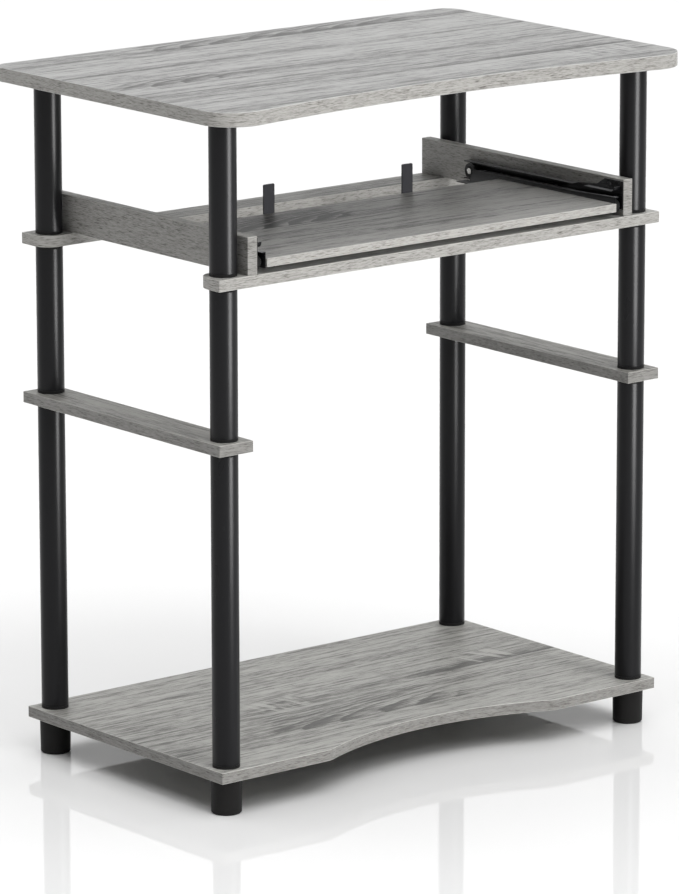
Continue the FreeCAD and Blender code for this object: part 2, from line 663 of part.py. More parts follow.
stop_screws = []
for number, spot_x in enumerate(stop_screw_xs):
    spot = (spot_x, tray_back + d.stop_thick, tray_z + d.stop_screw_height)
    stop_screws.append(screw(f"stop_screw_{number}", spot, TOWARDS_FRONT, d.stop_screw_radius,
                             d.stop_screw_length, d.stop_screw_head_radius, d.screw_head))
nodes.append(group("stop_screws", stop_screws))

tray_screws = []
for side, sign in SIDES.items():
    for number, spot_y in enumerate(tray_screw_ys):
        spot = (d.tray_screw_x * sign, spot_y, tray_z - d.steel)
        tray_screws.append(screw(f"tray_screw_{side}_{number}", spot, UPWARDS, d.screw_radius,
                                 d.tray_screw_length, d.screw_head_radius, d.screw_head))
nodes.append(group("drawer_rail_screws", tray_screws))

rail_screws = []
for side, sign in SIDES.items():
    turn = TOWARDS_RIGHT if sign > 0 else TOWARDS_LEFT
    for number, (spot_y, spot_z) in enumerate(rail_screw_spots):
        spot = (channel_face * sign, spot_y, deck_z + spot_z)
        rail_screws.append(screw(f"rail_screw_{side}_{number}", spot, turn, d.screw_radius,
                                 d.rail_screw_length, d.screw_head_radius, d.flat_head))
nodes.append(group("cabinet_rail_screws", rail_screws))

panel_screws = []
for row, side in CORNERS:
    spot = (panel_x * SIDES[side], d.tube_y * ROWS[row], stretcher_z)
    panel_screws.append(screw(f"panel_screw_{row}_{side}", spot, UPWARDS, d.panel_screw_radius,
                              d.panel_screw_length, d.panel_screw_head_radius,
                              d.panel_screw_head_radius - d.panel_screw_radius, countersunk=True))
nodes.append(group("panel_screws", panel_screws))

# ---------------------------------------------------------------- checks and export

doc.recompute()
for item in doc.Objects:
    if "Invalid" in item.State or "Error" in item.State:
        raise RuntimeError(f"{item.Label} failed: {item.State}")
    if item.TypeId in ("PartDesign::Pocket", "PartDesign::SubtractiveCone"):
        before = item.BaseFeature.Shape.Volume
        if item.Shape.Volume > before - 0.01:
            raise RuntimeError(f"{item.Label} cuts nothing")

os.makedirs("parts", exist_ok=True)
for node in nodes:
    shape = node.Shape
    if shape.isNull() or not shape.isValid() or not shape.Solids:
        raise RuntimeError(f"{node.Label} has no valid shape")
    shape.exportStep(f"parts/{node.Label}.step")
    print(f"{node.Label:26s} solids {len(shape.Solids):2d}  volume {shape.Volume / 1000:9.2f} cm3")
print(f"{len(nodes)} nodes")
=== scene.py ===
"""The looks of a computer desk with a sliding keyboard tray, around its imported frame.

Metres.  +X runs to the right along the front, +Y to the back and +Z up from the floor.
"""
import math

import bmesh
import bpy
import numpy as np
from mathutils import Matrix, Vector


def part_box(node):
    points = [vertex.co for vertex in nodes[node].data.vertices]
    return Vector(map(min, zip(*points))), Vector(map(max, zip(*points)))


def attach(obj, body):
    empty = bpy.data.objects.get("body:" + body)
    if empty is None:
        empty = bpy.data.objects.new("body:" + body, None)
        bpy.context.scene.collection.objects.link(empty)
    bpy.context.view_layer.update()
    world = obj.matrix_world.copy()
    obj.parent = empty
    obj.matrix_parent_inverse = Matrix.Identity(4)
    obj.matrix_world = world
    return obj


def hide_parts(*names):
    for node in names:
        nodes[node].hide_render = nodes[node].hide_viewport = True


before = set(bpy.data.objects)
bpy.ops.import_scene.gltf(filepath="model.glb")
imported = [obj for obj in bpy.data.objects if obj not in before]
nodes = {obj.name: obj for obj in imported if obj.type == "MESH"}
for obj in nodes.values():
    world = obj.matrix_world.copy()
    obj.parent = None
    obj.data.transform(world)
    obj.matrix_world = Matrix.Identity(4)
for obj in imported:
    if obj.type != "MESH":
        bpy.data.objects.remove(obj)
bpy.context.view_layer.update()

# ---------------------------------------------------------------- camera
# The camera stands low in front, to the left of the desk, and looks slightly down at it.
# The desk is seen from far off with a long lens, so its uprights stay almost parallel.

CAMERA_TURN = math.radians(-38.97)
CAMERA_RISE = math.radians(12.97)
CAMERA_ROLL = math.radians(0.1)
CAMERA_REACH = 6.287
CAMERA_LENS = 238.15
SENSOR_WIDTH = 36.0
AIM_ACROSS = -0.0044
AIM_HEIGHT = 0.3182

towards_camera = np.array([math.sin(CAMERA_TURN) * math.cos(CAMERA_RISE),
                           -math.cos(CAMERA_TURN) * math.cos(CAMERA_RISE),
                           math.sin(CAMERA_RISE)])
across = np.array([math.cos(CAMERA_TURN), math.sin(CAMERA_TURN), 0.0])
camera = bpy.data.objects.new("camera", bpy.data.cameras.new("camera"))
camera.data.lens = CAMERA_LENS
camera.data.sensor_width = SENSOR_WIDTH
aim = np.array([0.0, 0.0, AIM_HEIGHT]) + across * AIM_ACROSS
camera.location = aim + towards_camera * CAMERA_REACH
camera.rotation_euler = (math.pi / 2 - CAMERA_RISE, 0.0, CAMERA_TURN)
camera.rotation_euler.rotate_axis("Z", -CAMERA_ROLL)
bpy.context.scene.collection.objects.link(camera)
bpy.context.scene.camera = camera

# ---------------------------------------------------------------- studio
# A white polished floor under a pale sky.  A large soft light stands high in front and a wide
# one hangs overhead.  A low front light is flagged off the floor and shows in no gloss, and an
# upright soft box gives the tubes their long highlight.

FLOOR_HALF = 40.0
FLOOR_WHITE = (0.97, 0.97, 0.97)
FLOOR_IOR = 1.45
FLOOR_ROUGH, ROUGH_SPREAD, ROUGH_CLOUDS = 0.03, 0.02, 3.0
SKY_FILL, SKY_SHEEN = 0.13, 0.85
KEY_TURN, KEY_RISE, KEY_SIZE, KEY_STRENGTH = 8.0, 50.0, 36.0, 0.9
LOW_TURN, LOW_RISE, LOW_SIZE, LOW_STRENGTH = 6.0, 17.0, 24.0, 2.3
TOP_SIZE, TOP_STRENGTH = 76.0, 2.65
STRIP_TURN, STRIP_REACH, STRIP_HEIGHT = 6.0, 1.42, 0.8
STRIP_WIDE, STRIP_TALL, STRIP_WATTS = 0.6, 1.56, 64.0


class Wire:
    """One output of a material's node.  Arithmetic on wires and numbers adds Math nodes."""

    def __init__(self, tree, socket=None):
        self.tree = tree
        self.socket = socket

    def feed(self, node, inputs):
        """Put values or wires into a node's sockets, by name or number."""
        for key, value in inputs.items():
            if isinstance(value, Wire):
                self.tree.links.new(value.socket, node.inputs[key])
            else:
                node.inputs[key].default_value = value

    def add(self, kind, inputs=None, output=0, stops=None, **settings):
        """Add a node: its settings first, then its ramp's stops, then its sockets."""
        node = self.tree.nodes.new("ShaderNode" + kind)
        for name, value in settings.items():
            setattr(node, name, value)
        if stops:
            while len(node.color_ramp.elements) < len(stops):
                node.color_ramp.elements.new(1.0)
            for element, (place, colour) in zip(node.color_ramp.elements, stops):
                element.position = place
                element.color = (*colour, 1.0)
        self.feed(node, inputs or {})
        return Wire(self.tree, node.outputs[output])

    def math(self, operation, first, second=0.0):
        return self.add("Math", {0: first, 1: second}, operation=operation)

    def __add__(self, other):
        return self.math("ADD", self, other)

    def __sub__(self, other):
        return self.math("SUBTRACT", self, other)

    def __rsub__(self, other):
        return self.math("SUBTRACT", other, self)

    def __mul__(self, other):
        return self.math("MULTIPLY", self, other)

    def __truediv__(self, other):
        return self.math("DIVIDE", self, other)

    def __pow__(self, other):
        return self.math("POWER", self, other)

    __radd__ = __add__
    __rmul__ = __mul__

    def floor(self):
        return self.math("FLOOR", self)

    def fraction(self):
        return self.math("FRACT", self)

    def size(self):
        return self.math("ABSOLUTE", self)

    def step(self, low, high):
        """Smooth step: 0 below low, 1 above high."""
        return self.add("MapRange", {0: self, 1: low, 2: high}, interpolation_type="SMOOTHSTEP")

    def split(self):
        """The three parts of a vector."""
        node = self.tree.nodes.new("ShaderNodeSeparateXYZ")
        self.feed(node, {0: self})
        return [Wire(self.tree, output) for output in node.outputs]

    def noise(self, x, y, z, detail=2.0, roughness=0.5):
        """Noise from 0 to 1 at a point given by its three parts."""
        spot = self.add("CombineXYZ", {0: x, 1: y, 2: z})
        inputs = {"Vector": spot, "Scale": 1.0, "Detail": detail, "Roughness": roughness}
        return self.add("TexNoise", inputs)

    def mix(self, share, first, second):
        """Colours: first where share is 0, second where it is 1."""
        return self.add("Mix", {0: share, 6: first, 7: second}, output=2, data_type="RGBA")


def new_finish(name, **constants):
    """A material with a Principled shader: (material, wire to build from, shader node)."""
    material = bpy.data.materials.new(name)
    material.use_nodes = True
    shader = material.node_tree.nodes["Principled BSDF"]
    for socket, value in constants.items():
        shader.inputs[socket.replace("_", " ")].default_value = value
    return material, Wire(material.node_tree), shader


def grid_mesh(name, points, closed_u=False, closed_v=True):
    """Faces over a grid of points, shaped (rows, columns, 3), joined at its ends where closed."""
    rows, columns = points.shape[:2]
    index = np.arange(rows * columns).reshape(rows, columns)
    u_next = np.roll(index, -1, axis=0)
    u_next = u_next if closed_u else u_next[:-1]
    here = index if closed_u else index[:-1]
    faces = np.stack([here, np.roll(here, -1, axis=1), np.roll(u_next, -1, axis=1), u_next], axis=-1)
    faces = faces if closed_v else faces[:, :-1]
    mesh = bpy.data.meshes.new(name)
    mesh.from_pydata(points.reshape(-1, 3), [], faces.reshape(-1, 4).tolist())
    return mesh


floor_finish, wire, shader = new_finish("studio_floor", Base_Color=(*FLOOR_WHITE, 1.0), IOR=FLOOR_IOR)
x, y, z = wire.add("TexCoord", output="Object").split()
clouds = wire.noise(x * ROUGH_CLOUDS, y * ROUGH_CLOUDS, z)
wire.feed(shader, {"Roughness": clouds * ROUGH_SPREAD + FLOOR_ROUGH})
floor_rim = np.array([[[-FLOOR_HALF, -FLOOR_HALF, 0.0], [FLOOR_HALF, -FLOOR_HALF, 0.0]],
                      [[-FLOOR_HALF, FLOOR_HALF, 0.0], [FLOOR_HALF, FLOOR_HALF, 0.0]]])
floor = bpy.data.objects.new("studio_floor", grid_mesh("studio_floor", floor_rim, closed_v=False))
floor.data.materials.append(floor_finish)
bpy.context.scene.collection.objects.link(floor)

# A white backdrop closes the view beyond the floor.  It sheds no light and casts no shadow.
BACKDROP_REACH, BACKDROP_TALL, BACKDROP_SIDES = 39.0, 30.0, 96
paint, wire, shader = new_finish("backdrop_white", Base_Color=(0.0, 0.0, 0.0, 1.0), Specular_IOR_Level=0.0,
                                 Emission_Color=(1.0, 1.0, 1.0, 1.0), Emission_Strength=1.0)
angle = np.linspace(0.0, 2.0 * np.pi, BACKDROP_SIDES, endpoint=False)
hoop = np.stack([np.cos(angle), np.sin(angle), np.zeros(BACKDROP_SIDES)], axis=-1) * BACKDROP_REACH
walls = np.stack([hoop, hoop + np.array([0.0, 0.0, BACKDROP_TALL])])
backdrop = bpy.data.objects.new("studio_backdrop", grid_mesh("studio_backdrop", walls))
backdrop.data.materials.append(paint)
backdrop.visible_diffuse = False
backdrop.visible_glossy = False
backdrop.visible_shadow = False
bpy.context.scene.collection.objects.link(backdrop)

# Gloss sees white walls all round the studio, while little of their light reaches the desk.
sky = bpy.data.worlds.new("sky")
sky.use_nodes = True
wire = Wire(sky.node_tree)
background = sky.node_tree.nodes["Background"]
sheen = wire.add("LightPath", output="Is Glossy Ray")
strength = sheen * (SKY_SHEEN - SKY_FILL) + SKY_FILL
wire.feed(background, {"Color": (1.0, 1.0, 1.0, 1.0), "Strength": strength})
bpy.context.scene.world = sky
bpy.context.scene.view_settings.view_transform = "Standard"


def soft_sun(name, turn, rise, size, strength):
    """A distant light of the given width in degrees, turn degrees right of straight in front."""
    data = bpy.data.lights.new(name, "SUN")
    data.angle = math.radians(size)
    data.energy = strength
    light = bpy.data.objects.new(name, data)
    light.rotation_euler = (math.radians(90.0 - rise), 0.0, math.radians(turn))
    bpy.context.scene.collection.objects.link(light)
    return light


tube_gloss = bpy.data.collections.new("tube_gloss")


def soft_box(name, turn, reach, height, wide, tall, watts):
    """An upright soft box that faces the desk and shows only in the gloss of its tubes."""
    data = bpy.data.lights.new(name, "AREA")
    data.shape = "RECTANGLE"
    data.size, data.size_y, data.energy = wide, tall, watts
    light = bpy.data.objects.new(name, data)
    angle = math.radians(turn)
    light.location = (reach * math.sin(angle), -reach * math.cos(angle), height)
    light.rotation_euler = (math.pi / 2, 0.0, angle)
    light.visible_diffuse = False
    light.light_linking.receiver_collection = tube_gloss
    bpy.context.scene.collection.objects.link(light)


soft_box("strip_light", STRIP_TURN, STRIP_REACH, STRIP_HEIGHT, STRIP_WIDE, STRIP_TALL, STRIP_WATTS)
soft_sun("key_light", KEY_TURN, KEY_RISE, KEY_SIZE, KEY_STRENGTH)
soft_sun("overhead_light", turn=0.0, rise=90.0, size=TOP_SIZE, strength=TOP_STRENGTH)
low_light = soft_sun("low_light", LOW_TURN, LOW_RISE, LOW_SIZE, LOW_STRENGTH)
flagged = bpy.data.collections.new("flagged_off_the_floor")
flagged.objects.link(floor)
flagged.collection_objects[0].light_linking.link_state = "EXCLUDE"
low_light.light_linking.receiver_collection = flagged
low_light.visible_glossy = False

# ---------------------------------------------------------------- desk top
# A 15 mm particle board covered in a printed grey oak foil, its front cut to a shallow hollow
# arc.  The print shows staves, each with half of a cathedral figure cut off at its front edge,
# and a paler foil band is glued around the edges.

STAVE = 0.088
STAVE_SHIFT = 7.0
STAVE_CHANCE = 0.12

# Each layer of the print: repeats per metre along and across the grain, where its noise is cut,
# its detail and its roughness.
STREAK = (1.2, 36.0, 0.0, 4.0, 0.6)
VEIN = (4.0, 130.0, 17.0, 4.0, 0.65)
FLECK = (17.0, 250.0, 3.0, 4.0, 0.75)
FIBRE = (60.0, 800.0, 5.0, 2.0, 0.6)
PORE = (70.0, 1500.0, 9.0, 1.0, 0.5)
PORE_STEP = (0.6, 0.72)
DARK_VEIN = (0.58, 0.72)
STREAK_SHARE, VEIN_SHARE, FLECK_SHARE, FIBRE_SHARE = 1.1, 1.5, 2.4, 1.2
PORE_SHARE, PORE_BALANCE = 0.25, 1.3
DARK_VEIN_SHARE = 0.18
TONE_LIFT = 0.68

# The grain wanders sideways by up to half of WANDER.  Ring lines open by RING_REACH and sway.
BEND, BEND_DETAIL, WANDER = (2.6, 10.0), 2.0, 0.016
SWAY, SWAY_CUT, SWAY_DETAIL, SWAY_SHARE = (9.0, 40.0), 1.0, 3.0, 1.3
RING_REACH, RING_FADE, RING_START = 0.0145, 1.7, 0.12
RING_SPACING, RING_DEPTH = 0.041, 0.85

# A stave darkens towards its front edge, and some staves end there in a dark line.
EDGE_REACH, EDGE_SHADE, EDGE_SHADE_POWER = 0.9, 0.2, 4.0
LINE_SHADE, LINE_POWER = 0.75, 16.0

# Saw marks are short pale bars that lean across the grain.
BARS, BARS_CUT, BARS_DETAIL, BAR_LEAN = (130.0, 16.0), 11.0, 1.0, 0.3
BAR_STEP = (0.46, 0.62)
BAR_SHARE, CUT_SHADE = 0.6, 0.1

# How softly figures, washes and saw marks fade out, in metres, and staves, in staves.
SOFT_FIGURE, SOFT_WASH, SOFT_SAW_END, SOFT_SAW_SIDE = 0.02, 0.08, 0.012, 0.006
SOFT_STAVE = 0.1

# Where the tone reaches each shade of the foil, and how these mix.
DARKEST_AT, DARK_AT, MIDDLE_AT, LIGHT_AT = 0.0, 0.28, 0.6, 0.95
DARKEST_SHARE, MIDDLE_SHARE = 0.5, 0.6

# The band around the edges carries short level dark fibres, in layers like those of the face.
BAND_STREAK = (30.0, 480.0, 0.0, 4.0, 0.7)
BAND_FIBRE = (150.0, 1700.0, 7.0, 3.0, 0.65)
BAND_PORE = (110.0, 1600.0, 3.0, 2.0, 0.5)
BAND_PORE_STEP = (0.52, 0.64)
BAND_STREAK_SHARE, BAND_FIBRE_SHARE, BAND_PORE_SHARE = 1.4, 2.2, 0.4
BAND_LIFT, BAND_MELLOW = 0.72, 0.35
BROWN_AT, MELLOW_AT, PALE_AT = 0.05, 0.5, 0.95
PALE_TINT, BROWN_TINT = (0.98, 0.93), (0.93, 0.82)

# Level surfaces show the face, upright ones the band, and the arris between them gets a pale painted
# highlight.
FLAT_STEP, ARRIS_STEP = (0.75, 0.95), (0.12, 0.4)
ARRIS_HIGHLIGHT, ARRIS_SHARE = 1.5, 0.8

FOIL_ROUGH, FLECK_GLOSS, PORE_DULL = 0.5, 0.1, 0.2
FIBRE_RELIEF, PORE_RELIEF, FLECK_RELIEF, RING_RELIEF, BAND_RELIEF = 0.5, 0.7, 0.4, 0.3, 0.7
FOIL_RELIEF, FOIL_DEPTH = 0.4, 0.0003


def laminate(name, along, light, dark, band, stave_edge, seed, figures=(), lines=(), saws=(),
             washes=(), spacing=RING_SPACING, depth=RING_DEPTH):
    """Printed oak foil.  Tone = streaks + flecks + fibres - ring lines - pores + saw marks.

    A ring line is where (grain - offset^2 / reach) wraps round, with the offset counted from
    the stave's front edge: nested half parabolas that open along the grain.  Figures and lines
    hold (stave number, from, to), washes the same and a lift; saws hold (from, to, front, back).
    Light, dark and the two shades of the band are linear reflectances.
    """
    material, wire, shader = new_finish(name)
    x, y, z = wire.add("TexCoord", output="Object").split()
    grain, side = (x, y) if along == "x" else (y, x)

    count = (stave_edge - side) / STAVE
    number = count.floor()
    offset = (1.0 - count.fraction()) * STAVE
    chance = wire.add("TexWhiteNoise", {"W": number + seed}, noise_dimensions="1D")
    run = grain + chance * STAVE_SHIFT

    def window(position, start, stop, soft):
        """1 from start to stop, fading out over soft on both sides."""
        entered = position.step(start - soft, start + soft)
        return entered * (1.0 - position.step(stop - soft, stop + soft))

    def on_stave(stave, start, stop, soft=SOFT_FIGURE):
        """1 on one stave from start to stop along the grain."""
        this_one = window(number, stave - 0.5, stave + 0.5, SOFT_STAVE)
        return this_one * window(grain, start, stop, soft)

    def saw_patch(start, stop, front, back):
        """1 in one oblong patch of the board."""
        return window(grain, start, stop, SOFT_SAW_END) * window(side, front, back, SOFT_SAW_SIDE)

    shown = sum((on_stave(*figure) for figure in figures), 0.0)
    lined = sum((on_stave(*line) for line in lines), 0.0)
    cut = sum((saw_patch(*saw) for saw in saws), 0.0)
    wash = sum((on_stave(*place, SOFT_WASH) * lift for *place, lift in washes), 0.0)

    bend = wire.noise(run * BEND[0], side * BEND[1], seed, BEND_DETAIL) - 0.5
    bent = side + bend * WANDER

    def printed(lengthwise, crosswise, cut_at, detail, roughness):
        """One layer of the print, stretched along the grain, from 0 to 1."""
        return wire.noise(run * lengthwise, bent * crosswise, seed + cut_at, detail, roughness)

    streak = printed(*STREAK)
    vein = printed(*VEIN)
    fleck = printed(*FLECK)
    fibre = printed(*FIBRE)
    pore = printed(*PORE).step(*PORE_STEP)

    sway = wire.noise(run * SWAY[0], side * SWAY[1], seed + SWAY_CUT, SWAY_DETAIL) - 0.5
    arc = run - offset * offset / RING_REACH + sway * spacing * SWAY_SHARE
    turn = (arc / spacing).fraction()
    ring = (1.0 - turn) ** RING_FADE * turn.step(0.0, RING_START)
    near_edge = 1.0 - offset / STAVE * EDGE_REACH
    rings = ring * near_edge * shown

    leaning = (run + side * BAR_LEAN) * BARS[0]
    bars = wire.noise(leaning, side * BARS[1], seed + BARS_CUT, BARS_DETAIL).step(*BAR_STEP)
    saw = bars * cut

    tone = ((streak - 0.5) * STREAK_SHARE + (vein - 0.5) * VEIN_SHARE + (fleck - 0.5) * FLECK_SHARE
            + (fibre - 0.5) * FIBRE_SHARE + (chance - 0.5) * STAVE_CHANCE - rings * depth + wash
            - pore * PORE_SHARE * (PORE_BALANCE - streak)
            - vein.step(*DARK_VEIN) * DARK_VEIN_SHARE + saw * BAR_SHARE - cut * CUT_SHADE
            - near_edge ** EDGE_SHADE_POWER * EDGE_SHADE
            - near_edge ** LINE_POWER * lined * LINE_SHADE + TONE_LIFT)
    darkest = tuple(DARKEST_SHARE * part for part in dark)
    middle = tuple(MIDDLE_SHARE * a + (1.0 - MIDDLE_SHARE) * b for a, b in zip(light, dark))
    stops = [(DARKEST_AT, darkest), (DARK_AT, dark), (MIDDLE_AT, middle), (LIGHT_AT, light)]
    face = wire.add("ValToRGB", {0: tone}, stops=stops)

    def banded(level, upright, cut_at, detail, roughness):
        """One layer of the edge band's print, stretched level, from 0 to 1."""
        return wire.noise(x * level, y * level, z * upright + cut_at, detail, roughness)

    edge_streak = banded(*BAND_STREAK)
    edge_fibre = banded(*BAND_FIBRE)
    edge_pore = banded(*BAND_PORE).step(*BAND_PORE_STEP)
    edge_tone = ((edge_streak - 0.5) * BAND_STREAK_SHARE + (edge_fibre - 0.5) * BAND_FIBRE_SHARE
                 - edge_pore * BAND_PORE_SHARE + BAND_LIFT)
    pale, brown = [(shade, shade * green, shade * blue)
                   for shade, green, blue in zip(band, PALE_TINT, BROWN_TINT)]
    mellow = tuple((1.0 - BAND_MELLOW) * a + BAND_MELLOW * b for a, b in zip(pale, brown))
    stops = [(BROWN_AT, brown), (MELLOW_AT, mellow), (PALE_AT, pale)]
    edge = wire.add("ValToRGB", {0: edge_tone}, stops=stops)

    facing = wire.add("NewGeometry", output="Normal").split()[2].size()
    flat = facing.step(*FLAT_STEP)
    arris = facing.step(*ARRIS_STEP) * (1.0 - flat)
    # A pale painted highlight along the arris between level and upright faces.
    arris_highlight = tuple(ARRIS_HIGHLIGHT * shade for shade in light)
    colour = wire.mix(arris * ARRIS_SHARE, wire.mix(flat, edge, face), (*arris_highlight, 1.0))
    face_relief = (fibre * FIBRE_RELIEF - pore * PORE_RELIEF + fleck * FLECK_RELIEF
                   - rings * RING_RELIEF) * flat
    relief = face_relief + edge_fibre * (1.0 - flat) * BAND_RELIEF
    bump = wire.add("Bump", {"Height": relief, "Strength": FOIL_RELIEF, "Distance": FOIL_DEPTH})
    rough = FOIL_ROUGH - fleck * FLECK_GLOSS + pore * PORE_DULL
    wire.feed(shader, {"Base Color": colour, "Roughness": rough, "Normal": bump})
    return material


def dress(node, material):
    """Give a CAD node its finish."""
    nodes[node].data.materials.clear()
    nodes[node].data.materials.append(material)


dress("desk_top", laminate("desk_top_oak", along="x", light=(0.33, 0.33, 0.324),
                           dark=(0.094, 0.093, 0.091), band=(0.36, 0.09), stave_edge=0.157, seed=2.0,
                           figures=[(-1, -0.12, 0.22), (1, -0.29, -0.16)], lines=[(2, 0.15, 0.32)],
                           saws=[(0.2, 0.3, -0.15, -0.11)]))

# ---------------------------------------------------------------- bottom shelf
# A 12 mm board of the same foiled particle board, scooped in the middle of its front edge.  The
# lower tubes stand on it, and studs pass through its corners into the feet.

dress("bottom_shelf", laminate("shelf_oak", along="x", light=(0.37, 0.366, 0.345),
                               dark=(0.11, 0.108, 0.1), band=(0.24, 0.06), stave_edge=0.083, seed=11.0,
                               figures=[(1, -0.15, 0.09)], lines=[(0, 0.1, 0.3)],
                               saws=[(-0.115, -0.05, -0.015, 0.022), (0.165, 0.245, 0.0, 0.04)],
                               spacing=0.05))

# ---------------------------------------------------------------- stretchers
# Two narrow 12 mm boards of foiled particle board tie the left tubes to the right ones, one under
# the tray's front and one behind it.  Studs clamp them between the middle and upper tubes.

stretcher_oak = laminate("stretcher_oak", along="x", light=(0.36, 0.356, 0.338),
                         dark=(0.12, 0.118, 0.11), band=(0.37, 0.09), stave_edge=0.13, seed=23.0)
dress("front_stretcher", stretcher_oak)
dress("rear_stretcher", stretcher_oak)

# ---------------------------------------------------------------- side rails
# A short 12 mm board on each side ties the front tube to the rear one at half height.  It is foiled
# like the shelf, and studs clamp it between the lower and middle tubes.

rail_oak = laminate("side_rail_oak", along="y", light=(0.29, 0.285, 0.267),
                    dark=(0.085, 0.083, 0.076), band=(0.24, 0.055), stave_edge=0.29, seed=31.0)
dress("side_rail_left", rail_oak)
dress("side_rail_right", rail_oak)

# ---------------------------------------------------------------- slide panels
# Two foiled boards on edge stand across the stretchers, held by screws from below.  They carry the
# tray's slides on their inner faces.

panel_oak = laminate("slide_panel_oak", along="y", light=(0.34, 0.335, 0.317),
                     dark=(0.1, 0.098, 0.09), band=(0.3, 0.05), stave_edge=0.29, seed=43.0)
dress("slide_panel_left", panel_oak)
dress("slide_panel_right", panel_oak)

# ---------------------------------------------------------------- keyboard tray
# A 9 mm board covered in the same foil, given darker shades than the top, with a paler band on its
# edges.  Washes lighten its front stave and right side and darken its rear left.  Each end rests
# on the foot of a runner, which is screwed to it from below.

dress("keyboard_tray", laminate("tray_oak", along="x", light=(0.32, 0.315, 0.303),
                                dark=(0.044, 0.043, 0.042), band=(0.4, 0.12), stave_edge=-0.043, seed=8.0,
                                figures=[(-1, -0.24, -0.02)], spacing=0.034, depth=2.2,
                                washes=[(1, -0.3, 0.3, 0.16), (-1, 0.0, 0.3, 0.18),
                                        (0, 0.06, 0.3, 0.2), (-1, -0.3, -0.02, -0.04)]))

# ---------------------------------------------------------------- tubes
# Twelve steel tubes, 28.6 mm across, with a satin black coat.  Each stands between two boards,
# pulled tight by the threaded studs in its end plugs.

AROUND = 96
EASE_STEPS = 4
NEARLY_HALF = 0.49


def turned(name, profile, centre):
    """Each (radius, height) of a closed profile, carried round an upright axis at the centre."""
    angle = np.linspace(0.0, 2.0 * np.pi, AROUND, endpoint=False)
    radius, height = np.array(profile, float).T
    rings = np.stack([radius[:, None] * np.cos(angle), radius[:, None] * np.sin(angle),
                      np.repeat(height[:, None], AROUND, axis=1)], axis=-1)
    return grid_mesh(name, rings + np.array(centre, float), closed_u=True)


def eased(points, radius):
    """Round each corner of a closed outline with a small arc drawn as a quadratic curve."""
    corners = np.array(points, float)
    before, after = np.roll(corners, 1, axis=0), np.roll(corners, -1, axis=0)
    share = np.linspace(0.0, 1.0, EASE_STEPS + 1)[None, :, None]

    def towards(other):
        """The point one radius from each corner towards its neighbour."""
        way = other - corners
        length = np.linalg.norm(way, axis=1, keepdims=True)
        return corners + way / length * np.minimum(radius, NEARLY_HALF * length)

    start, end = towards(before)[:, None], towards(after)[:, None]
    curve = start * (1 - share) ** 2 + 2 * corners[:, None] * share * (1 - share) + end * share ** 2
    return curve.reshape(-1, 2)


def make_piece(name, mesh, material, body, replaced):
    """Link a finished mesh as a smooth piece that stands for a CAD node and rides on a body."""
    piece = bpy.data.objects.new(name, mesh)
    mesh.materials.append(material)
    mesh.polygons.foreach_set("use_smooth", np.ones(len(mesh.polygons), bool))
    bpy.context.scene.collection.objects.link(piece)
    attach(piece, body)
    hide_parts(replaced)
    return piece


SATIN_SPECULAR = 0.16
PEEL, PEEL_DETAIL = (900.0, 900.0, 900.0), 2.0
CLOUD, CLOUD_DETAIL = (30.0, 30.0, 9.0), 3.0
DUST, DUST_DETAIL, DUST_STEP = (400.0, 400.0, 120.0), 2.0, (0.62, 0.8)
DUSTY, DUSTY_LIFT = 2.1, 0.002
DUST_SHARE, CLOUD_SHARE = 0.35, 0.2
PEEL_RELIEF, PEEL_DEPTH = 0.12, 0.0002
UNEVEN_GLOSS = 0.1


def mottle(wire, pitch, detail):
    """Noise from 0 to 1 that repeats so many times per metre along each axis."""
    spot = wire.add("TexCoord", output="Object").split()
    return wire.noise(*(part * times for part, times in zip(spot, pitch)), detail)


def satin_black(name, shade, gloss, grain=1.0):
    """Black coat or moulding with a fine orange-peel skin and a slightly uneven gloss."""
    material, wire, shader = new_finish(name, Specular_IOR_Level=SATIN_SPECULAR)
    peel = mottle(wire, PEEL, PEEL_DETAIL)
    cloud = mottle(wire, CLOUD, CLOUD_DETAIL)
    dust = mottle(wire, DUST, DUST_DETAIL).step(*DUST_STEP)
    dusty = [part * DUSTY + DUSTY_LIFT for part in shade]
    colour = wire.mix(dust * DUST_SHARE + cloud * CLOUD_SHARE, (*shade, 1.0), (*dusty, 1.0))
    bump = wire.add("Bump", {"Height": peel, "Strength": PEEL_RELIEF * grain, "Distance": PEEL_DEPTH})
    wire.feed(shader, {"Base Color": colour, "Roughness": cloud * UNEVEN_GLOSS + gloss, "Normal": bump})
    return material


tube_black = satin_black("tube_black", shade=(0.006, 0.006, 0.0068), gloss=0.24)
WALL = 0.0016
TUBE_EASE = 0.0005
tube_names = [f"{storey}_tube_{row}_{side}" for storey in ("lower", "middle", "upper")
              for row in ("front", "rear") for side in ("left", "right")]
for tube_name in tube_names:
    low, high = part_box(tube_name)
    outer, middle = (high.x - low.x) / 2, (low + high) / 2
    inner = outer - WALL
    outline = eased([(inner, low.z), (outer, low.z), (outer, high.z), (inner, high.z)], TUBE_EASE)
    mesh = turned(tube_name, outline, (middle.x, middle.y, 0.0))
    piece_name = tube_name.replace("tube", "steel_tube")
    tube = make_piece(piece_name, mesh, tube_black, "frame", tube_name)
    tube_gloss.objects.link(tube)

# ---------------------------------------------------------------- plugs, feet and studs
# Black moulded plugs close the tubes, moulded feet stand on the floor, and plated studs join all.

plug_black = satin_black("plug_black", shade=(0.009, 0.009, 0.009), gloss=0.42)
foot_black = satin_black("foot_black", shade=(0.0075, 0.0072, 0.007), gloss=0.5, grain=1.6)
for storey in ("lower", "middle", "upper"):
    dress(f"{storey}_tube_plugs", plug_black)
for row in ("front", "rear"):
    for side in ("left", "right"):
        dress(f"foot_{row}_{side}", foot_black)

